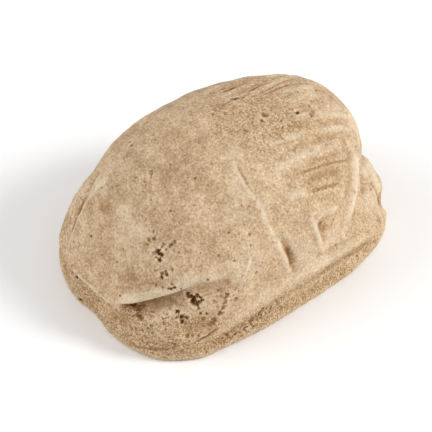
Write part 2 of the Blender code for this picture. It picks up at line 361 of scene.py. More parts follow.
# %% Where the main edges run
LIP = [
    (2.15, -9.6, 2.75),
    (2.6, -9.2, 3.27),
    (3.27, -8.64, 3.75),
    (4.4, -7.55, 4.4),
    (5.1, -6.75, 4.8),
    (5.45, -6.15, 4.95),
]
LIP_TAIL = [(4.8, -6.9, 4.8), (5.4, -6.1, 5.0), (5.9, -5.3, 5.2), (6.2, -4.6, 5.4), (6.5, -3.6, 5.3)]
FAR_LIP = [
    (-3.3, -9.5, 2.7),
    (-3.4, -9.0, 3.8),
    (-3.7, -8.4, 4.7),
    (-3.8, -7.6, 5.6),
    (-4.1, -6.8, 6.2),
    (-4.7, -5.9, 6.5),
]
FRONT_EDGE = [(-2.6, -9.7, 2.1), (-1.0, -9.8, 2.3), (0.2, -9.8, 2.4), (1.8, -9.8, 2.5)]
SLOT = [(6.2, -0.8, 6.4), (6.4, -0.7, 5.6), (6.5, -0.5, 5.0), (6.6, -0.3, 4.1), (6.8, -0.3, 3.5)]
SLOT_FLOOR = [
    (6.15, -0.62, 5.9),
    (6.22, -0.52, 5.5),
    (6.35, -0.42, 5.1),
    (6.45, -0.34, 4.6),
    (6.55, -0.25, 3.8),
]
LEG_DOWN = [(6.1, 1.4, 6.7), (6.4, 1.5, 6.0), (6.6, 1.7, 5.1), (6.7, 1.9, 4.3)]
LEG_BACK = [(6.1, 1.4, 6.7), (6.0, 2.3, 6.6), (5.9, 3.2, 6.2), (5.6, 4.1, 5.8)]
CASE_EDGE = [
    (3.3, 7.2, 6.9),
    (3.8, 6.7, 6.5),
    (4.2, 6.4, 5.6),
    (4.6, 6.1, 4.7),
    (5.0, 5.6, 4.0),
    (5.5, 4.9, 3.2),
]
CASE_CORNER = [(4.9, 6.3, 3.3), (4.6, 6.9, 3.0), (4.4, 7.4, 2.8)]
REAR_CORNER = [(3.9, 7.5, 4.6), (4.3, 7.5, 3.6), (4.6, 7.6, 2.9), (4.9, 7.6, 2.3)]
REAR_RECESS = [(2.5, 8.3, 3.2), (3.1, 7.9, 3.3), (3.8, 7.8, 3.1), (4.3, 7.9, 2.7), (4.5, 8.1, 2.2)]
REAR_RIM = [
    (0.4, 9.5, 2.6),
    (1.1, 9.4, 2.7),
    (2.1, 9.0, 2.8),
    (3.0, 8.7, 2.8),
    (3.6, 8.5, 2.7),
    (4.2, 8.2, 2.4),
]
print("lip of the head, mm long:", round(float(np.linalg.norm(np.diff(LIP, axis=0), axis=1).sum()), 1))

# %% Swell and press the body
# Each row: where, how wide, and how far out. A minus sign presses inwards.
for centre, radius, amount in [
    ((-6.5, -6.8, 2.8), 2.2, 0.3),  # far front corner
    ((-5.4, -5.8, 5.8), 1.8, -0.22),  # above the far lip
    ((-4.6, -6.2, 6.4), 1.0, -0.12),  # above the far lip
    ((-3.6, -9.6, 1.2), 1.6, -0.27),  # front of the base, far half
    ((4.0, 8.5, 1.9), 1.0, -0.2),  # rear corner, worn off
    ((1.4, 9.4, 2.9), 1.2, 0.15),  # rear rim
    ((6.3, 4.2, 0.5), 1.8, 0.1),  # near edge of the base
    ((6.4, -6.7, 0.3), 1.5, 0.07),  # near front of the base
    ((-5.4, -6.9, 4.3), 1.8, 0.16),  # under the far lip
    ((-4.6, -9.1, 0.9), 1.3, -0.24),  # front of the base, far corner
    ((3.7, 9.0, 1.5), 0.8, -0.4),  # rear corner, worn off
    ((4.4, 8.7, 0.9), 0.8, -0.1),  # rear corner, worn off
    ((3.5, 9.25, 1.0), 0.75, -0.42),  # chip in the rear rim
    ((3.15, 9.4, 0.6), 0.7, -0.24),  # chip in the rear rim
    ((2.7, 9.3, 2.0), 0.9, 0.1),  # rear rim
    ((-4.5, -2.5, 8.4), 0.45, -0.1),  # nick on the far shoulder
    ((4.5, 8.1, 2.4), 1.7, -0.3),  # rear recess
    ((2.6, 7.6, 7.0), 3.0, 0.17),  # end of the wing cases
    ((0.0, -8.4, 5.0), 2.0, -0.15),  # head plate
    ((-2.6, -8.4, 5.2), 1.6, -0.1),  # head plate
]:
    swell(centre, radius, amount)
print("width of the body now, mm:", round(float(np.ptp(points[:, 0])), 2))

# %% Step the edges down
flare(LIP, 0.22, 0.6, ends=(0.2, 0.4))
ledge(LIP, 0.34, 1.5, edge=0.05, ends=(0.12, 0.65))
ledge(LIP, 0.12, 1.5, edge=0.15, ends=(0.5, 0.3))
ledge(LIP_TAIL, 0.17, 1.5, edge=0.35, ends=(0.4, 0.4))
ledge(FAR_LIP[::-1], 0.25, 0.9, ends=(0.2, 0.1))
ledge(FRONT_EDGE, 0.15, 0.9, ends=(0.1, 0.02))
ledge(SLOT[::-1], 0.15, 0.6, edge=0.12, ends=(0.1, 0.6))
ridge(CASE_EDGE, 0.8, 0.22, ends=(0.1, 0.2))
ledge(CASE_EDGE[::-1], 0.3, 1.4, edge=0.45, ends=(0.15, 0.2))
ledge(REAR_CORNER[::-1], 0.15, 0.8, ends=(0.1, 0.5))
ledge(REAR_RECESS, 0.16, 0.9, edge=0.15, ends=(0.2, 0.3))
rub(CASE_EDGE, 1.1, 50)
rub(CASE_CORNER, 1.0, 40)
swell((6.3, 2.5, 5.6), 0.9, -0.14)  # hollow between the leg folds
swell((4.7, 8.0, 1.9), 0.6, 0.12)  # what is left of the rear corner
put_down()
even_skin(SQUARE_SIZE, LATER_SOFTENING)
pick_up()

# %% [markdown]
# ## The cut lines
# With a point and a small file the carver drew the rim of the base, the line between the shoulders and the
# wing cases, the leg folds and the fan of furrows on the wing cases. They could be painted on, but a cut of
# even a twentieth of a millimetre catches the light on one side, so each one is really cut. Dirt lies in
# the cuts, and the ribs between them are rubbed pale; on the line across the back, the leg fold, the base
# band and the edge of the wing cases the pale is also painted highlight, and the dark beside the line across
# the back is partly painted shade. The far side is the near side turned over, with less wear.

# %% Where the base band and the hollows above and below it run
BAND = [
    (6.3, -6.9, 1.4),
    (6.7, -4.6, 2.2),
    (6.8, -2.8, 2.7),
    (6.9, -0.5, 2.9),
    (6.6, 2.0, 2.7),
    (6.4, 3.6, 2.5),
    (6.1, 5.0, 2.2),
    (5.7, 6.5, 1.7),
    (5.3, 7.4, 1.3),
]
ABOVE_BAND = [
    (6.2, -6.9, 1.9),
    (6.6, -4.6, 2.8),
    (6.8, -2.8, 3.3),
    (6.9, -0.5, 3.5),
    (6.6, 1.5, 3.5),
    (6.3, 3.3, 3.1),
    (6.0, 4.7, 2.7),
    (5.6, 5.8, 2.3),
]
HOLLOW = [
    (6.3, -6.6, 0.9),
    (6.8, -4.1, 1.5),
    (6.9, -2.7, 1.9),
    (6.9, -0.7, 2.0),
    (6.7, 1.7, 1.8),
    (6.5, 3.2, 1.6),
    (6.2, 4.7, 1.3),
    (5.9, 6.0, 0.9),
]
RIM = [(x, y, z - 1.2) for x, y, z in BAND[1:8]]
SLOT_RIB = [(5.8, -1.5, 7.3)] + [(x, y - 0.33, z) for x, y, z in SLOT]
CASE_RIB = [(x + 0.2, y - 0.35, z + 0.35) for x, y, z in CASE_EDGE]
print("base band, mm long:", round(LINE_STEP * len(flowing(BAND)), 1))

# %% Rim of the base, leg folds and notches, on both sides
for turn, rubbed in ((list, 1.0), (mirrored, 0.4)):
    ridge(turn(BAND), 0.4, 0.05, ends=(0.1, 0.1), shine_and_highlight=0.4 * rubbed)
    ridge(turn(RIM), 0.25, 0.03, shine_and_highlight=0.6 * rubbed)
    groove(turn(ABOVE_BAND), 0.2, 0.04, dirt_and_shade=0.15)
    groove(turn(HOLLOW), 0.4, 0.0, ends=(0.1, 0.2), dirt_and_shade=0.38)
    # The pale on the leg fold is wear and painted highlight: its lit side is painted lighter.
    ridge(turn(LEG_DOWN), 0.2, 0.12, ends=(0.05, 0.2), shine_and_highlight=0.7 * rubbed)
    ridge(turn(LEG_BACK), 0.14, 0.045, ends=(0.05, 0.4), shine_and_highlight=0.3 * rubbed)
    ridge(turn(SLOT_RIB), 0.2, 0.08, ends=(0.5, 0.1), shine_and_highlight=0.7 * rubbed)
    # The pale band by the edge of the wing cases is mostly painted highlight, widening the lit band, with
    # some wear.
    ridge(turn(CASE_RIB), 0.5, 0.05, ends=(0.2, 0.15), shine_and_highlight=0.9 * rubbed)
print("points with wear on them:", int((worn > 0.1).sum()))

# %% The line across the back
DIVISION = [
    (1.0, -1.2, 10.0),
    (2.3, -1.2, 9.7),
    (3.0, -1.4, 9.5),
    (4.0, -1.5, 9.0),
    (4.5, -1.4, 8.7),
    (5.1, -1.3, 8.2),
    (5.6, -1.3, 7.6),
    (6.0, -1.2, 6.9),
    (6.2, -1.0, 6.4),
]
FAR_DIVISION = [(0.0, -1.4, 10.0), (-1.2, -1.5, 9.9), (-2.2, -1.7, 9.7), (-3.6, -2.3, 9.1), (-5.0, -2.8, 8.0)]
SOFT_RIDGE = [(-1.5, -7.2, 6.6), (-0.5, -7.3, 6.8), (0.4, -7.3, 6.7), (1.3, -7.3, 6.7), (2.2, -7.3, 6.4)]
FAR_SEAM = [(-4.1, -7.3, 5.4), (-3.9, -7.9, 4.6), (-3.7, -8.4, 4.1), (-3.7, -8.9, 3.3)]
shoulder_edge = [(x, y - 0.1, z) for x, y, z in DIVISION]
cut_behind_it = [(x, y + 0.08, z) for x, y, z in DIVISION]
# Painted highlight and shade: the pale on the shoulder edge stands in for light on its lit side, and the dark
# in the cut behind it partly for its shadow, over a little dirt.
ridge(shoulder_edge, 0.18, 0.045, ends=(0.3, 0.1), shine_and_highlight=0.6)
groove(cut_behind_it, 0.09, 0.03, ends=(0.3, 0.2), dirt_and_shade=0.15)
groove(cut_behind_it[1:4], 0.08, 0.04, dirt_and_shade=0.5)
groove(FAR_DIVISION, 0.12, 0.02, dirt_and_shade=0.1)
groove(FAR_SEAM, 0.13, 0.05, dirt_and_shade=0.75)
# Painted highlight over a little wear: the pale along the soft ridge across the head stands in for the light
# it catches.
ridge(SOFT_RIDGE, 0.45, 0.08, shine_and_highlight=0.35)
print("line across the back, mm long:", round(LINE_STEP * len(flowing(DIVISION)), 1))

# %% The lip, the front edge, the rear rim and single cuts
REAR_CRACK = [(3.1, 8.15, 3.1), (3.4, 8.3, 2.8), (3.7, 8.4, 2.4), (3.8, 8.65, 1.8)]
CORNER_NICK = [(4.7, 7.5, 1.8), (5.0, 7.8, 1.5), (5.2, 8.0, 1.1)]
ABOVE_LIP = [(x - 0.4, y + 0.3, z + 0.6) for x, y, z in LIP[:5]]
BACK_GOUGE = [(-1.9, 1.6, 10.0), (-1.7, 2.0, 10.0), (-1.4, 2.4, 9.95)]
LEG_HOLLOW = [(6.2, 1.9, 6.1), (6.3, 2.3, 5.4), (6.4, 2.7, 4.7)]
# Painted highlight with some wear: the pale on the bevel above the lip stands in for the light it faces.
flare(LIP, 0.07, 0.5, ends=(0.15, 0.2), shine_and_highlight=0.55)
ridge(FRONT_EDGE, 0.12, 0.1, ends=(0.2, 0.1), shine_and_highlight=1.2)
# Painted highlight with some wear: this stroke only paints the rounded base band pale on top, where light
# falls on it.
ridge(BAND[2:], 0.45, 0.0, ends=(0.5, 0.1), shine_and_highlight=0.65)
# Wear and painted highlight: the pale on the rear rim also stands in for the light from behind.
ridge(REAR_RIM, 0.35, 0.1, ends=(0.5, 0.2), shine_and_highlight=0.7)
groove(REAR_CRACK, 0.1, 0.06, ends=(0.2, 0.1), dirt_and_shade=0.6)
groove(CORNER_NICK, 0.14, 0.14, dirt_and_shade=0.3)
groove(ABOVE_LIP, 0.25, 0.03, ends=(0.2, 0.5), dirt_and_shade=0.45)
# Painted shade over red-brown dirt: the dark strip down the slot in the near shoulder stands in for the
# shadow against its wall.
groove(SLOT_FLOOR, 0.22, 0.02, ends=(0.3, 0.15), dirt_and_shade=0.9)
# Painted shade over some real dirt: the dark laid under the head's lip stands in for the shadow in its
# undercut.
ledge(LIP[:4], 0.06, 0.6, ends=(0.2, 0.6), dirt_and_shade=1.2)
ledge(LIP, 0.0, 1.0, ends=(0.15, 0.5), dirt_and_shade=0.6)
groove(BACK_GOUGE, 0.09, 0.09, dirt_and_shade=1.2)
# Painted shade: the thin dark under the soft rear end of the lip stands in for the step's shading.
ledge(LIP_TAIL, 0.0, 1.2, edge=0.3, ends=(0.1, 0.4), dirt_and_shade=0.38)
# Painted shade over a little dirt: the hollow between the leg folds is painted dark where its shadow falls.
groove(LEG_HOLLOW, 0.28, 0.03, ends=(0.2, 0.4), dirt_and_shade=0.65)
print("points with dirt on them:", int((soil_and_shade > 0.1).sum()))

# %% The fan of furrows on the wing cases
SCORED_LINES = [
    [(4.4, 0.9, 8.8), (4.5, 1.9, 8.7), (4.4, 3.3, 8.3), (4.3, 4.7, 7.8), (4.2, 6.0, 7.1)],
    [(5.3, 2.0, 7.8), (5.2, 3.0, 7.4), (5.2, 3.8, 7.1), (5.0, 4.6, 6.8)],
    [(-3.4, 0.6, 9.4), (-3.3, 1.5, 9.4), (-3.1, 2.9, 9.4), (-3.0, 4.2, 9.2)],
    [(-2.7, 1.0, 9.7), (-2.7, 2.0, 9.7), (-3.0, 3.2, 9.4)],
    [(-1.7, 0.2, 10.0), (-1.7, 1.6, 10.0), (-1.6, 3.0, 10.0)],
    [(-1.2, 1.6, 10.0), (-1.2, 3.7, 9.9), (-1.5, 5.4, 9.5), (-1.5, 6.5, 9.0)],
    [(-1.0, 2.4, 10.0), (-0.9, 3.8, 9.9), (-1.0, 5.0, 9.7), (-0.8, 6.0, 9.4), (-0.4, 7.1, 8.9)],
]
LONG_SCRATCHES = [
    [(-2.9, 1.3, 9.6), (-2.9, 2.0, 9.6), (-2.9, 2.6, 9.5), (-2.8, 3.1, 9.5), (-2.6, 3.6, 9.6)],
    [(-1.9, 2.5, 9.8), (-1.8, 3.0, 9.8), (-1.9, 3.6, 9.8), (-1.9, 4.2, 9.7), (-1.9, 4.8, 9.6)],
]
FURROWS = [
    [(3.2, 3.2, 9.2), (3.2, 4.4, 8.9), (3.2, 5.7, 8.4)],
    [(4.2, 2.0, 8.9), (4.2, 3.6, 8.6), (4.0, 5.4, 8.0)],
    [(4.9, 1.6, 8.3), (4.8, 3.2, 8.0), (4.7, 4.8, 7.3)],
    [(2.5, 4.6, 9.4), (2.5, 5.8, 9.0), (2.6, 6.8, 8.3)],
    [(-2.2, 1.4, 9.8), (-2.1, 3.2, 9.7), (-2.2, 5.0, 9.3)],
]
RIBS = [
    [(4.0, -0.4, 9.2), (3.9, 0.6, 9.2), (3.8, 1.7, 9.2), (3.7, 2.9, 9.0), (3.7, 4.3, 8.7), (3.6, 5.8, 8.1)],
    [(1.9, 5.4, 9.4), (2.1, 6.3, 9.0), (2.1, 7.4, 8.2)],
    [(2.8, 4.4, 9.2), (2.8, 5.8, 8.8), (2.9, 7.0, 7.9)],
    [(5.3, 0.2, 8.1), (5.3, 1.0, 8.1), (5.3, 1.9, 7.9)],
    [(-2.5, 0.9, 9.8), (-2.5, 2.4, 9.7), (-2.6, 4.0, 9.4)],
    [(-1.5, 3.4, 9.9), (-1.6, 4.6, 9.7), (-1.8, 6.0, 9.2)],
    [(-0.4, 3.6, 10.0), (-0.4, 5.0, 9.8), (-0.1, 6.6, 9.2)],
]
print("scored lines, furrows, ribs:", len(SCORED_LINES), len(FURROWS), len(RIBS))

# %% Cut the fan, and the last single strokes
SHOULDER_FOLD = [(6.5, -3.65, 5.1), (6.45, -3.35, 5.7), (6.3, -3.05, 6.1), (6.15, -2.55, 6.5)]
BASE_SPLIT = [(6.1, -7.1, 1.4), (6.4, -6.6, 1.6), (6.6, -5.5, 2.1)]
RIM_SCRATCH = [(3.1, -9.8, 0.5), (4.5, -9.3, 0.8), (5.4, -8.4, 1.1), (5.9, -7.6, 1.5)]
for stops in SCORED_LINES:
    groove(stops, 0.09, 0.07, ends=(0.3, 0.2), dirt_and_shade=0.6)
    groove(mirrored(stops), 0.12, 0.05, ends=(0.3, 0.3), dirt_and_shade=0.3)
for stops in FURROWS:
    groove(stops, 0.3, 0.04, ends=(0.3, 0.2), dirt_and_shade=0.42)
    groove(mirrored(stops), 0.3, 0.04, ends=(0.3, 0.3), dirt_and_shade=0.2)
for stops in RIBS:
    ridge(stops, 0.25, 0.06, ends=(0.3, 0.2), shine_and_highlight=0.6)
    ridge(mirrored(stops), 0.25, 0.05, ends=(0.3, 0.3), shine_and_highlight=0.4)
for stops in LONG_SCRATCHES:
    groove(stops, 0.08, 0.08, ends=(0.3, 0.2), dirt_and_shade=1.1)
ridge(SHOULDER_FOLD, 0.12, 0.055, ends=(0.3, 0.5), shine_and_highlight=0.95)
groove(BASE_SPLIT, 0.08, 0.12, dirt_and_shade=1)
groove(RIM_SCRATCH, 0.1, 0.06, dirt_and_shade=0.7)
print("points with dirt on them now:", int((soil_and_shade > 0.1).sum()))

# %% [markdown]
# ## The broken pits
# Soft stone loses crumbs. The pits on the front of the head, below the lip and along the back are what this
# stone is known by, so each has its own place, width, depth and amount of dirt. A random texture would put
# them elsewhere. Noise only makes their edges ragged.

# %% Break the pits on the head and under the lip
# Each row: where, how wide, how deep, and how much dirt.
for centre, radius, depth, dirt_and_shade in [
    # the broken patch below the lip
    ((4.9, -6.5, 4.15), 0.16, 0.18, 1),
    ((5.05, -6.4, 4.05), 0.15, 0.18, 1.1),
    ((5.2, -6.35, 4), 0.18, 0.22, 1.2),
    ((5.25, -6.35, 3.85), 0.16, 0.2, 1.2),
    ((5.3, -6.5, 3.85), 0.13, 0.15, 1.1),
    ((5.4, -6.5, 3.8), 0.11, 0.1, 1),
    ((5.55, -6.4, 3.8), 0.15, 0.15, 1.2),
    ((5.55, -6.25, 3.85), 0.13, 0.12, 1),
    ((5.7, -6.15, 4.05), 0.13, 0.1, 1.1),
    ((5.6, -6.15, 4.2), 0.11, 0.1, 1.1),
    ((5.3, -6.15, 4.15), 0.13, 0.1, 1.1),
    ((5.75, -6.4, 3.6), 0.1, 0.08, 0.9),
    ((5.95, -6.4, 3.3), 0.1, 0.08, 1),
    ((6.1, -6.1, 3.25), 0.11, 0.08, 1),
    # the broken patch on the head plate, and the crumbs round it
    ((2.75, -7.1, 6.35), 0.12, 0.08, 1),
    ((2.9, -7, 6.4), 0.11, 0.08, 0.9),
    ((2.85, -7.15, 6.3), 0.15, 0.14, 1.1),
    ((3.05, -7.1, 6.3), 0.14, 0.14, 1.1),
    ((3.2, -7.1, 6.35), 0.12, 0.1, 1),
    ((3.2, -7.25, 6.05), 0.13, 0.12, 1.1),
    ((3, -7.4, 6.15), 0.1, 0.06, 0.75),
    ((2.7, -7.4, 6.25), 0.1, 0.05, 0.7),
    ((2, -7.15, 6.65), 0.13, 0.06, 0.75),
    ((2.2, -6.95, 6.8), 0.11, 0.06, 0.9),
    ((2.05, -7.4, 6.45), 0.1, 0.05, 0.7),
    ((2.9, -6.95, 6.7), 0.1, 0.05, 0.85),
    ((2.9, -6.8, 6.8), 0.1, 0.05, 0.85),
    ((3.2, -6.85, 6.65), 0.09, 0.05, 0.75),
    ((3.25, -6.65, 6.85), 0.09, 0.05, 0.8),
    ((3.25, -6.5, 6.9), 0.11, 0.06, 0.95),
    ((3.3, -6.3, 7.05), 0.1, 0.05, 0.9),
    ((3.6, -6.6, 6.7), 0.09, 0.04, 0.7),
    # a few pits between that and the lip
    ((3.8, -7.6, 5.6), 0.11, 0.06, 1),
    ((3.9, -7.4, 5.75), 0.1, 0.06, 0.9),
    ((4, -7.4, 5.6), 0.11, 0.07, 1),
    ((3.9, -7.65, 5.4), 0.11, 0.07, 1),
    ((4.1, -7.1, 5.9), 0.12, 0.05, 0.8),
    # along the lip
    ((4.55, -7.4, 5.2), 0.1, 0.05, 0.8),
    ((3.85, -8.05, 4.95), 0.09, 0.05, 0.85),
    ((4.2, -7.85, 4.9), 0.09, 0.05, 0.75),
    ((4.7, -7.3, 4.95), 0.11, 0.1, 1.1),
    ((4.55, -7.45, 4.85), 0.1, 0.08, 1),
    ((4.45, -7.6, 4.85), 0.1, 0.08, 1),
    ((4.9, -7.05, 4.85), 0.1, 0.08, 1),
    # the lower broken patch under the lip
    ((5.4, -7.4, 3.15), 0.17, 0.16, 1),
    ((5.1, -7.45, 3.4), 0.15, 0.12, 1),
    ((5.55, -7.45, 2.9), 0.15, 0.14, 1),
    ((5.65, -7.2, 3.15), 0.14, 0.12, 0.9),
    ((5.2, -7.6, 3.1), 0.1, 0.1, 0.7),
    # the shallow broken strip down the near side
    ((6.4, -4.85, 4.15), 0.2, 0.06, 0.9),
    ((6.5, -5, 3.8), 0.16, 0.06, 0.8),
    ((6.5, -5.15, 3.45), 0.17, 0.06, 0.85),
    ((6.5, -5.4, 3.1), 0.2, 0.08, 0.9),
    ((6.45, -5.75, 2.65), 0.24, 0.08, 0.9),
    ((6.4, -6.05, 2.45), 0.2, 0.08, 0.85),
    ((6.2, -6.4, 2.5), 0.13, 0.06, 0.6),
    ((6.6, -4.3, 3.7), 0.15, 0.06, 0.85),
    ((6.1, -6.3, 2.95), 0.18, 0.06, 0.75),
    # along the top of the base band
    ((6, -7.4, 2), 0.12, 0.08, 0.75),
    ((6.15, -7.1, 1.95), 0.09, 0.08, 0.7),
    ((6.3, -6.8, 1.9), 0.1, 0.08, 0.7),
    # two single pits at the front
    ((3.6, -9, 2.6), 0.18, 0.1, 0.85),
    ((5.7, -8.1, 1.5), 0.09, 0.08, 0.85),
]:
    pit(centre, radius, depth, dirt_and_shade)
print("strongest dirt so far:", round(float(soil_and_shade.max()), 2))

# %% Break the pits on the back and the sides
# Each row: where, how wide, how deep, and how much dirt.
for centre, radius, depth, dirt_and_shade in [
    # on the far shoulder and ahead of the line across the back
    ((-3.6, -4.4, 8.3), 0.13, 0.1, 0.85),
    ((-3.9, -4.2, 8.1), 0.1, 0.08, 0.8),
    ((-0.9, -4.9, 8.5), 0.16, 0.08, 0.65),
    ((-0.7, -5.1, 8.4), 0.1, 0.06, 0.6),
    # on the top of the back
    ((-1.9, 1.6, 10), 0.08, 0.08, 0.9),
    ((-1.7, 1.9, 10), 0.1, 0.1, 1),
    ((-1.5, 2.2, 10), 0.09, 0.08, 0.9),
    ((0.5, 2.3, 10.1), 0.2, 0.12, 0.8),
    ((0.75, 1.9, 10.1), 0.13, 0.12, 0.8),
    ((0.6, 1.3, 10.2), 0.11, 0.08, 0.7),
    ((0.9, 0.6, 10.1), 0.14, 0.1, 0.65),
    ((-1.4, -0.1, 10.1), 0.13, 0.08, 0.65),
    ((-1.6, 0.2, 10.1), 0.11, 0.08, 0.65),
    ((1.3, 4.1, 9.8), 0.13, 0.12, 1.3),
    ((1.8, 4.8, 9.6), 0.15, 0.08, 0.7),
    ((1.6, 5, 9.6), 0.12, 0.08, 0.7),
    ((1.8, 7.4, 8.3), 0.12, 0.1, 0.8),
    # on the near shoulder and the leg notch
    ((6.6, -2.8, 5.0), 0.1, 0.06, 0.9),
    ((6.0, -4.0, 6.3), 0.1, 0.05, 0.85),
    ((6.0, -2.85, 6.85), 0.09, 0.05, 0.8),
    ((5.7, -2.65, 7.4), 0.1, 0.05, 0.8),
    ((6.4, -0.4, 4.9), 0.11, 0.03, 1.0),
    # on the base, the front and the near side
    ((6.75, -2.6, 1.9), 0.15, 0.14, 1),
    ((0.9, -8.7, 4.8), 0.06, 0.08, 0.9),
    ((-1.8, -9.8, 1.9), 0.13, 0.12, 1.3),
    ((-1.3, -9.9, 0.4), 0.17, 0.1, 1.3),
    ((6.2, 3.4, 3.1), 0.1, 0.06, 0.6),
    ((6, 4.7, 2.7), 0.1, 0.06, 0.6),
    ((6, 5.1, 0.9), 0.08, 0.08, 0.95),
    ((6.1, 2.3, 5.6), 0.1, 0.12, 0.95),
    ((6.3, 2.4, 5.3), 0.16, 0.06, 0.65),
    ((4.9, 5.6, 3.3), 0.08, 0.06, 0.7),
]:
    pit(centre, radius, depth, dirt_and_shade)
print("points in dark pits:", int((soil_and_shade > 0.8).sum()))

# %% [markdown]
# ## Roughening and wear
# Low on the stone, where hands never polished it, the surface is like fine sandpaper with many pinholes;
# high up it is smooth. Strewing small pits by chance along lines gives this uneven look, and the seeded
# dice throw the same stone each time. Broad soft patches then hold thin dirt or wear; two of them are
# painted shade in the undercut below the head's lip, one is painted shade in the hollow between the leg
# folds, and those on the rear corner and rim are wear and painted highlight.

# %% Strew small pits
DICE_SEED = 11

dice = np.random.default_rng(DICE_SEED)


def pepper(stops, reach, count, size, depth, dirt_and_shade):
    """Many small pits strewn along a line."""
    line = flowing(stops)
    for _ in range(count):
        place = line[dice.integers(len(line))] + dice.normal(0, reach / 2, 3)
        scale = dice.uniform(0.6, 1.3)
        pit(tuple(place), size * scale, depth * scale, dirt_and_shade=dirt_and_shade * dice.uniform(0.5, 1))


LOW_NEAR_SIDE = [(6.5, -6.2, 0.8), (6.8, -4.0, 1.1), (6.9, -2.5, 1.5), (6.9, -1.0, 1.7)]
BESIDE_THE_BASE_PIT = [(6.8, -4.0, 1.2), (6.9, -2.6, 1.8)]
NEAR_CHEEK = [(6.5, -5.3, 4.3), (6.5, -4.4, 4.4), (6.5, -3.6, 4.8)]
FRONT_RIM = [(-2.4, -9.8, 1.7), (-0.6, -9.9, 1.5), (1.6, -9.9, 1.7), (3.4, -9.6, 1.7)]
BELOW_THE_LIP = [(3.0, -9.3, 2.3), (4.2, -8.4, 2.7), (5.4, -7.0, 2.8)]
FRONT_CORNER = [(2.4, -9.8, 1.2), (4.2, -8.9, 1.4), (5.6, -7.8, 1.6)]
LOW_FURROW = [(5.3, 2.2, 7.7), (5.3, 2.9, 7.5), (5.2, 3.8, 7.1)]
ALONG_THE_BACK = [(-1.2, 0.0, 10.1), (0.6, 1.8, 10.1), (1.4, 4.0, 9.8)]
# Each row: along what, how far from it, how many, how wide, how deep, and how much dirt.
for stops, reach, count, size, depth, dirt_and_shade in [
    (LOW_NEAR_SIDE, 0.6, 220, 0.06, 0.06, 1.05),
    (BESIDE_THE_BASE_PIT, 0.5, 40, 0.07, 0.08, 1.1),
    (HOLLOW[4:], 0.3, 30, 0.08, 0.05, 0.5),
    (mirrored(HOLLOW), 0.35, 60, 0.09, 0.06, 0.5),
    (NEAR_CHEEK, 0.45, 30, 0.07, 0.05, 0.7),
    (FRONT_RIM, 0.5, 50, 0.07, 0.05, 0.7),
    (BELOW_THE_LIP, 0.9, 70, 0.06, 0.04, 0.8),
    (FRONT_CORNER, 1.2, 130, 0.06, 0.04, 1.0),
    (LOW_FURROW, 0.12, 26, 0.07, 0.05, 0.8),
    (ALONG_THE_BACK, 1.2, 40, 0.07, 0.05, 0.6),
]:
    pepper(stops, reach, count, size, depth, dirt_and_shade)

STRAY_PITS = 170

for place in points[dice.integers(len(points), size=STRAY_PITS)]:
    pit(tuple(place), dice.uniform(0.05, 0.09), 0.05, dice.uniform(0.5, 1.1))
print("points in dark pits now:", int((soil_and_shade > 0.8).sum()))

# %% Lay patches of dirt and wear
# Each row: where, how wide, and how strong.
for centre, radius, amount in [
    ((-2.1, -7.5, 6.3), 1.1, 0.42),
    ((-0.9, -7.9, 5.8), 1.0, 0.3),
    ((1.0, -8.6, 4.8), 1.1, 0.3),
    ((2.2, -8.6, 4.6), 1.4, 0.45),
    # The next two rows are painted shade over some dirt: the darkest corner of the undercut below the head's
    # lip.
    ((2.8, -8.95, 2.85), 0.5, 1.25),
    ((3.2, -8.7, 2.8), 0.6, 0.9),
    ((3.0, -9.2, 2.2), 1.2, 0.5),
    ((2.2, -9.7, 1.8), 1.1, 0.45),
    ((-1.4, -9.9, 1.4), 1.2, 0.25),
    ((0.6, -9.6, 3.2), 0.9, 0.5),
    ((6.0, -6.5, 2.5), 1.3, 0.4),
    ((4.6, -8.3, 1.9), 1.0, 0.4),
    ((4.2, -8.6, 2.4), 1.2, 0.35),
    ((6.1, -5.9, 2.9), 1.0, 0.35),
    ((6.1, -4.9, 4.4), 0.9, 0.5),
    ((4.8, 3.6, 7.7), 1.3, 0.4),
    ((3.8, 4.6, 8.4), 1.1, 0.35),
    # Painted shade: the next row darkens the hollow between the leg folds.
    ((6.2, 2.4, 5.4), 0.9, 0.4),
    ((1.4, 4.4, 9.7), 1.0, 0.35),
    ((0.2, 3.4, 10.0), 1.2, 0.35),
    ((-2.6, 2.8, 9.6), 1.4, 0.35),
    ((-1.4, 5.0, 9.6), 1.3, 0.3),
    ((0.0, -4.0, 9.0), 1.6, 0.3),
    ((1.6, -3.2, 9.2), 1.3, 0.25),
    ((3.4, -5.4, 7.3), 1.2, 0.3),
]:
    patch(soil_and_shade, centre, radius, amount)

for centre, radius, amount in [
    # The first three rows are wear and painted highlight: they pale the rear corner and rim where light from
    # behind brightens them.
    ((4.3, 8.2, 2.6), 2.4, 0.6),
    ((5.0, 6.8, 3.0), 1.4, 0.3),
    ((2.6, 8.8, 2.9), 1.2, 0.9),
    ((2.2, 7.4, 7.6), 1.6, 0.5),
    ((6.6, 0.6, 4.6), 1.5, 0.4),
    ((6.5, 3.4, 4.0), 1.6, 0.45),
    ((-0.6, -7.3, 6.7), 0.9, 0.25),
    ((-3.5, -6.8, 6.5), 1.0, 0.75),
    ((4.0, -2.6, 8.6), 1.4, 0.3),
    ((6.3, -3.2, 5.6), 1.3, 0.35),
]:
    patch(worn, centre, radius, amount)

print("mean dirt and wear:", soil_and_shade.mean().round(3), worn.mean().round(3))

# %% Make the skin uneven
WAVE_SIZE, WAVE_HEIGHT = 2.6, 0.03
LUMP_SIZE, LUMP_HEIGHT = 0.9, 0.012
CRUMB_SIZE, CRUMB_HEIGHT, ROUGH_CRUMB_HEIGHT = 0.24, 0.006, 0.012
GRAVEL_TOP = 3.2

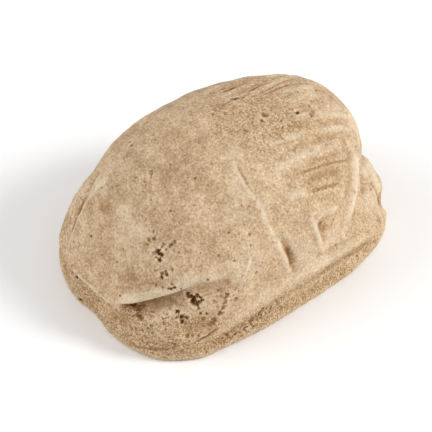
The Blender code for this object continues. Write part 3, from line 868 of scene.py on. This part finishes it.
everywhere = np.arange(len(points))
waves = uneven(everywhere, WAVE_SIZE, seed=1)
lumps = uneven(everywhere, LUMP_SIZE, seed=2)
crumbs = uneven(everywhere, CRUMB_SIZE, seed=3)
rear = fade_in(points[:, 1], 6, 8)
gravel = fade_in(GRAVEL_TOP - points[:, 2], 0, 1.6) * (1 - 0.6 * rear)
mark(rough, everywhere, gravel * 0.8)
for centre, radius, amount in [
    ((-4.8, -7.6, 4.2), 1.3, 0.9),
    ((3.3, 8.0, 3.6), 1.2, 0.5),
    ((3.2, -9.0, 2.2), 2.0, 0.9),
    ((5.6, -7.2, 2.6), 1.8, 0.75),
    ((-0.6, 3.2, 10.0), 4.0, 0.5),
]:
    patch(rough, centre, radius, amount)
crumb_height = CRUMB_HEIGHT + ROUGH_CRUMB_HEIGHT * rough
push(everywhere, WAVE_HEIGHT * waves + LUMP_HEIGHT * lumps + crumb_height * crumbs)
put_down()
print("mean roughness:", rough.mean().round(3))

# %% [markdown]
# ## Marks that stay on the skin
# Dirt gathers in every hollow and wear takes every edge, so both can be measured: a point that lies below
# a smoothed copy of the skin is in a hollow, one above it is on an edge. The three values are kept on the
# points, where the material finds them from any side. Then the skin is thinned out to a lighter mesh.

# %% Keep the marks on the skin
# For each: how many smoothing steps, and how deep in mm a hollow is that holds all the dirt it can.
SMALL_HOLLOWS = (6, 0.03)
BROAD_HOLLOWS = (40, 0.09)
HOLLOW_DIRT = 0.5
EDGE_WEAR = 0.6

normals = read(stone.data.vertex_normals, "vector")
for steps, full in (SMALL_HOLLOWS, BROAD_HOLLOWS):
    sunk = np.sum((relaxed(steps) - points) * normals, axis=1)
    mark(soil_and_shade, everywhere, HOLLOW_DIRT * fade_in(sunk, 0.1 * full, full))
    mark(worn, everywhere, EDGE_WEAR * fade_in(-sunk, 0.1 * full, full))

for name, values in (("soil_and_shade", soil_and_shade), ("worn", worn), ("rough", rough)):
    layer = stone.data.attributes.new(name, "FLOAT", "POINT")
    layer.data.foreach_set("value", values.astype(np.float32))
print("mean dirt and wear with hollows and edges:", soil_and_shade.mean().round(3), worn.mean().round(3))

# %% Thin out the mesh and go back to metres
MOST_FACES = 190000

thin_out = stone.modifiers.new("thin_out", "DECIMATE")
thin_out.ratio = MOST_FACES / (2 * len(points))
select_only(stone)
bpy.ops.object.modifier_apply(modifier=thin_out.name)
stone.scale = (MM, MM, MM)
bpy.ops.object.transform_apply(location=True, rotation=True, scale=True)
bpy.ops.object.shade_smooth()
print("stone:", len(stone.data.vertices), "points,", len(stone.data.polygons), "faces")

# %% [markdown]
# ## The stone, its dirt and its grain
# Steatite buried for long is pale tan, cloudy and full of specks. One flat brown would look like plastic, so
# the finish has three layers, each a small group of its own: the mottled body, the dirt in the low places,
# which in a few places also paints shade, and the grain that breaks the light. Everything is worked out in
# millimetres on the stone itself.

# %% Small helpers for materials
def new_group(name, inputs, outputs):
    """A node group with these sockets, and its two ends."""
    group = bpy.data.node_groups.new(name, "ShaderNodeTree")
    kinds = {"value": "NodeSocketFloat", "vector": "NodeSocketVector", "colour": "NodeSocketColor"}
    for label, kind in inputs:
        group.interface.new_socket(label, in_out="INPUT", socket_type=kinds[kind])
    for label, kind in outputs:
        group.interface.new_socket(label, in_out="OUTPUT", socket_type=kinds[kind])
    return group, group.nodes.new("NodeGroupInput").outputs, group.nodes.new("NodeGroupOutput").inputs


def plug(tree, source, target):
    """Joins a socket to another, or sets the target to a plain number or colour."""
    if isinstance(source, bpy.types.NodeSocket):
        tree.links.new(source, target)
    else:
        target.default_value = source


def calculate(tree, kind, a, b=0.0, c=0.0):
    """One step of arithmetic on plain numbers or sockets."""
    node = tree.nodes.new("ShaderNodeMath")
    node.operation = kind
    for source, target in zip((a, b, c), node.inputs):
        plug(tree, source, target)
    return node.outputs["Value"]


def lumps_of(tree, place, size, detail, roughness):
    """Soft noise, about 0.5 on average, with lumps of this size in mm."""
    node = tree.nodes.new("ShaderNodeTexNoise")
    plug(tree, place, node.inputs["Vector"])
    node.inputs["Scale"].default_value = 1 / size
    node.inputs["Detail"].default_value = detail
    node.inputs["Roughness"].default_value = roughness
    return node.outputs["Fac"]


def between(tree, value, low, high, start=0.0, end=1.0):
    """Maps low..high onto start..end, and holds it there."""
    node = tree.nodes.new("ShaderNodeMapRange")
    settings = {"Value": value, "From Min": low, "From Max": high, "To Min": start, "To Max": end}
    for label, source in settings.items():
        plug(tree, source, node.inputs[label])
    return node.outputs["Result"]


def blend(tree, amount, below, above, kind="MIX"):
    """Lays one colour over another by this amount."""
    node = tree.nodes.new("ShaderNodeMix")
    node.data_type = "RGBA"
    node.blend_type = kind
    plug(tree, amount, node.inputs["Factor"])
    below_socket, above_socket = (socket for socket in node.inputs if socket.type == "RGBA")
    plug(tree, below, below_socket)
    plug(tree, above, above_socket)
    return next(socket for socket in node.outputs if socket.type == "RGBA")


print("helpers: new_group, plug, calculate, lumps_of, between, blend")

# %% [markdown]
# ### The body of the stone
# The stone goes from brown to cream in clouds of a few millimetres, blotches below one millimetre and
# specks as fine as the eye can part. Noise at each size is added up to one tone, and the tone picks the
# colour. Rough places get stronger specks, since each tiny hole there has its own shade.

# %% The body of the stone
STONE_DARK = (0.35, 0.225, 0.12, 1)
STONE_MID = (0.555, 0.39, 0.235, 1)
STONE_PALE = (0.75, 0.58, 0.395, 1)
COOL_TINT = (0.97, 0.97, 1.0, 1)
TONE_SPAN = 0.31

mottle, given, out = new_group(
    "stone_mottle",
    [("Place", "vector"), ("Rough", "value")],
    [("Color", "colour")],
)


def add_tone(tone, lumps, strength):
    """Adds noise around zero to the tone."""
    around_zero = calculate(mottle, "SUBTRACT", lumps, 0.5)
    return calculate(mottle, "MULTIPLY_ADD", around_zero, strength, tone)


clouds = lumps_of(mottle, given["Place"], size=3.5, detail=3, roughness=0.6)
blotches = lumps_of(mottle, given["Place"], size=0.75, detail=5, roughness=0.65)
specks = lumps_of(mottle, given["Place"], size=0.15, detail=2, roughness=0.8)
fine_specks = lumps_of(mottle, given["Place"], size=0.07, detail=1, roughness=0.5)
speck_strength = calculate(mottle, "MULTIPLY_ADD", given["Rough"], 2.0, 1.3)
fine_strength = calculate(mottle, "MULTIPLY", given["Rough"], 3.2)
tone = add_tone(0.0, specks, speck_strength)
tone = add_tone(tone, fine_specks, fine_strength)
tone = add_tone(tone, blotches, 0.9)
tone = add_tone(tone, clouds, 0.4)
dark_side = between(mottle, tone, -TONE_SPAN, 0)
pale_side = between(mottle, tone, 0, TONE_SPAN)
body = blend(mottle, dark_side, STONE_DARK, STONE_MID)
body = blend(mottle, pale_side, body, STONE_PALE)
tint_clouds = lumps_of(mottle, given["Place"], size=2.2, detail=2, roughness=0.5)
tint = between(mottle, tint_clouds, 0.4, 0.65)
body = blend(mottle, calculate(mottle, "MULTIPLY", tint, 0.35), body, COOL_TINT, kind="MULTIPLY")
plug(mottle, body, out["Color"])
print("stone_mottle:", len(mottle.nodes), "nodes")

# %% [markdown]
# ### The dirt and painted shade
# Earth sits in two ways: a thin brown film that only stains, and a dark crust that fills the pits. Both
# come from the dirt-and-shade value on the skin, with noise added so that neither has a drawn edge. Under
# the head's lip, down the slot in the near shoulder, beside the line across the back and in the hollow
# between the leg folds, the same film and crust are painted shade.

# %% The dirt and painted shade
dirt_and_shade, given, out = new_group(
    "dirt_and_shade_marks",
    [("Place", "vector"), ("Soil_and_shade", "value"), ("Rough", "value")],
    [("Film_and_shade", "value"), ("Crust_and_shade", "value")],
)
breakup = lumps_of(dirt_and_shade, given["Place"], size=0.35, detail=4, roughness=0.7)
fine_breakup = lumps_of(dirt_and_shade, given["Place"], size=0.11, detail=2, roughness=0.6)
film_and_shade = calculate(dirt_and_shade, "ADD", given["Soil_and_shade"], calculate(dirt_and_shade, "SUBTRACT", breakup, 0.5))
film_and_shade = calculate(dirt_and_shade, "ADD", film_and_shade, calculate(dirt_and_shade, "SUBTRACT", fine_breakup, 0.5))
gravel_film = calculate(dirt_and_shade, "MULTIPLY", given["Rough"], between(dirt_and_shade, fine_breakup, 0.52, 0.62))
film_and_shade = calculate(dirt_and_shade, "MAXIMUM", between(dirt_and_shade, film_and_shade, 0.15, 0.7), gravel_film)
crust_and_shade = calculate(dirt_and_shade, "ADD", given["Soil_and_shade"], calculate(dirt_and_shade, "SUBTRACT", fine_breakup, 0.5))
plug(dirt_and_shade, film_and_shade, out["Film_and_shade"])
plug(dirt_and_shade, between(dirt_and_shade, crust_and_shade, 0.72, 1.05), out["Crust_and_shade"])
print("dirt_and_shade_marks:", len(dirt_and_shade.nodes), "nodes")

# %% [markdown]
# ### The grain
# The finest grain is smaller than the mesh can carry: two sizes of noise and a few round pores make the
# height for it, and it grows where the skin is rough.

# %% The grain
PORES_PER_MM = 3.2

grit, given, out = new_group("stone_grit", [("Place", "vector"), ("Rough", "value")], [("Height", "value")])
fine = lumps_of(grit, given["Place"], size=0.09, detail=3, roughness=0.7)
coarse = lumps_of(grit, given["Place"], size=0.3, detail=3, roughness=0.6)
pores = grit.nodes.new("ShaderNodeTexVoronoi")
plug(grit, given["Place"], pores.inputs["Vector"])
pores.inputs["Scale"].default_value = PORES_PER_MM
pore_depth = between(grit, pores.outputs["Distance"], 0.06, 0.2, -0.6, 0.0)
height = calculate(grit, "MULTIPLY_ADD", fine, 0.6, calculate(grit, "MULTIPLY", coarse, 0.5))
height = calculate(grit, "MULTIPLY", height, between(grit, given["Rough"], 0, 1, 0.7, 1.6))
plug(grit, calculate(grit, "ADD", height, pore_depth), out["Height"])
print("stone_grit:", len(grit.nodes), "nodes")

# %% [markdown]
# ### One material
# Wear lightens the body first, a warm wash goes over the rough places, then the film and the crust lie on
# top, in the order they came onto the real stone. The pale of wear is also painted highlight on some edges
# and on the rear rim, and the film and crust are also painted shade in a few recesses. The surface is dull
# and hardly shines.

# %% Read the marks and set up the layers
def use_group(tree, group, sources):
    """Puts a group into the material and joins its inputs."""
    node = tree.nodes.new("ShaderNodeGroup")
    node.node_tree = group
    for label, source in sources.items():
        plug(tree, source, node.inputs[label])
    return node


worn_stone = bpy.data.materials.new("worn_stone")
worn_stone.use_nodes = True
tree = worn_stone.node_tree
surface = tree.nodes["Principled BSDF"]
coordinates = tree.nodes.new("ShaderNodeTexCoord")
in_mm = tree.nodes.new("ShaderNodeVectorMath")
in_mm.operation = "SCALE"
in_mm.inputs["Scale"].default_value = 1 / MM
tree.links.new(coordinates.outputs["Object"], in_mm.inputs[0])
place = in_mm.outputs["Vector"]
marks = {}
for name in ("soil_and_shade", "worn", "rough"):
    node = tree.nodes.new("ShaderNodeAttribute")
    node.attribute_name = name
    marks[name] = node.outputs["Fac"]

body = use_group(tree, mottle, {"Place": place, "Rough": marks["rough"]})
soiled_and_shaded = use_group(tree, dirt_and_shade, {"Place": place, "Soil_and_shade": marks["soil_and_shade"], "Rough": marks["rough"]})
relief = use_group(tree, grit, {"Place": place, "Rough": marks["rough"]})
print("layers:", body.name, soiled_and_shaded.name, relief.name)

# %% Lay the colours over each other
# The pale of wear also paints highlights, and the film and crust browns also paint shade, where the marks on
# the skin put them.
WORN_AND_LIT_PALE = (0.9, 0.78, 0.6, 1)
ROUGH_WASH = (0.95, 0.85, 0.68, 1)
FILM_AND_SHADE_BROWN = (0.29, 0.135, 0.04, 1)
CRUST_AND_SHADE_BROWN = (0.1, 0.042, 0.012, 1)
DULLNESS = 0.82
SHINE = 0.15
GRAIN_HEIGHT = 0.09 * MM

wear_and_highlight_amount = calculate(tree, "MULTIPLY", marks["worn"], 0.6)
wash_amount = calculate(tree, "MULTIPLY", marks["rough"], 0.6)
film_and_shade_amount = calculate(tree, "MULTIPLY", soiled_and_shaded.outputs["Film_and_shade"], 0.8)
colour = blend(tree, wear_and_highlight_amount, body.outputs["Color"], WORN_AND_LIT_PALE)
colour = blend(tree, wash_amount, colour, ROUGH_WASH, kind="MULTIPLY")
colour = blend(tree, film_and_shade_amount, colour, FILM_AND_SHADE_BROWN)
colour = blend(tree, soiled_and_shaded.outputs["Crust_and_shade"], colour, CRUST_AND_SHADE_BROWN)
plug(tree, colour, surface.inputs["Base Color"])
surface.inputs["Roughness"].default_value = DULLNESS
surface.inputs["Specular IOR Level"].default_value = SHINE
bump = tree.nodes.new("ShaderNodeBump")
bump.inputs["Distance"].default_value = GRAIN_HEIGHT
plug(tree, relief.outputs["Height"], bump.inputs["Height"])
plug(tree, bump.outputs["Normal"], surface.inputs["Normal"])

stone.data.materials.clear()
stone.data.materials.append(worn_stone)
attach(stone, "root")
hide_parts("scarab")
print("worn_stone:", len(tree.nodes), "nodes")

# %% [markdown]
# ## The studio
# A white floor and an even sky leave only soft shadows, but a sky alone would hide the cuts. A lamp from the
# near rear shows them from the side, a weak one lifts the rear, and a broad fill opens the front.

# %% Floor and sky
FLOOR_SIZE = 2000 * MM
FLOOR_WHITE = (0.96, 0.96, 0.96, 1)
SKY_WHITE = (1, 1, 1, 1)
SKY_STRENGTH = 0.6

bpy.ops.mesh.primitive_plane_add(size=FLOOR_SIZE)
floor = bpy.context.object
floor.name = "floor"
paint = bpy.data.materials.new("floor_paint")
paint.use_nodes = True
paint.node_tree.nodes["Principled BSDF"].inputs["Base Color"].default_value = FLOOR_WHITE
floor.data.materials.append(paint)

world = bpy.data.worlds.new("studio")
bpy.context.scene.world = world
world.use_nodes = True
sky = world.node_tree.nodes["Background"]
sky.inputs["Color"].default_value = SKY_WHITE
sky.inputs["Strength"].default_value = SKY_STRENGTH
bpy.context.scene.view_settings.view_transform = "Standard"
print("floor:", floor.name, "sky:", world.name)

# %% Lamps
def soft_light(name, direction, distance, size, power):
    """A square lamp in this direction from the stone, turned towards it."""
    bpy.ops.object.light_add(type="AREA", location=Vector(direction).normalized() * distance)
    lamp = bpy.context.object
    lamp.name = name
    lamp.data.size = size
    lamp.data.energy = power
    lamp.rotation_euler = Vector(direction).to_track_quat("Z", "Y").to_euler()


soft_light("key", (0.75, 0.75, 0.85), distance=350 * MM, size=100 * MM, power=0.65)
soft_light("rear_glow", (0.9, 1.0, 0.45), distance=350 * MM, size=200 * MM, power=0.14)
soft_light("fill", (-0.5, -0.9, 0.7), distance=400 * MM, size=300 * MM, power=0.64)
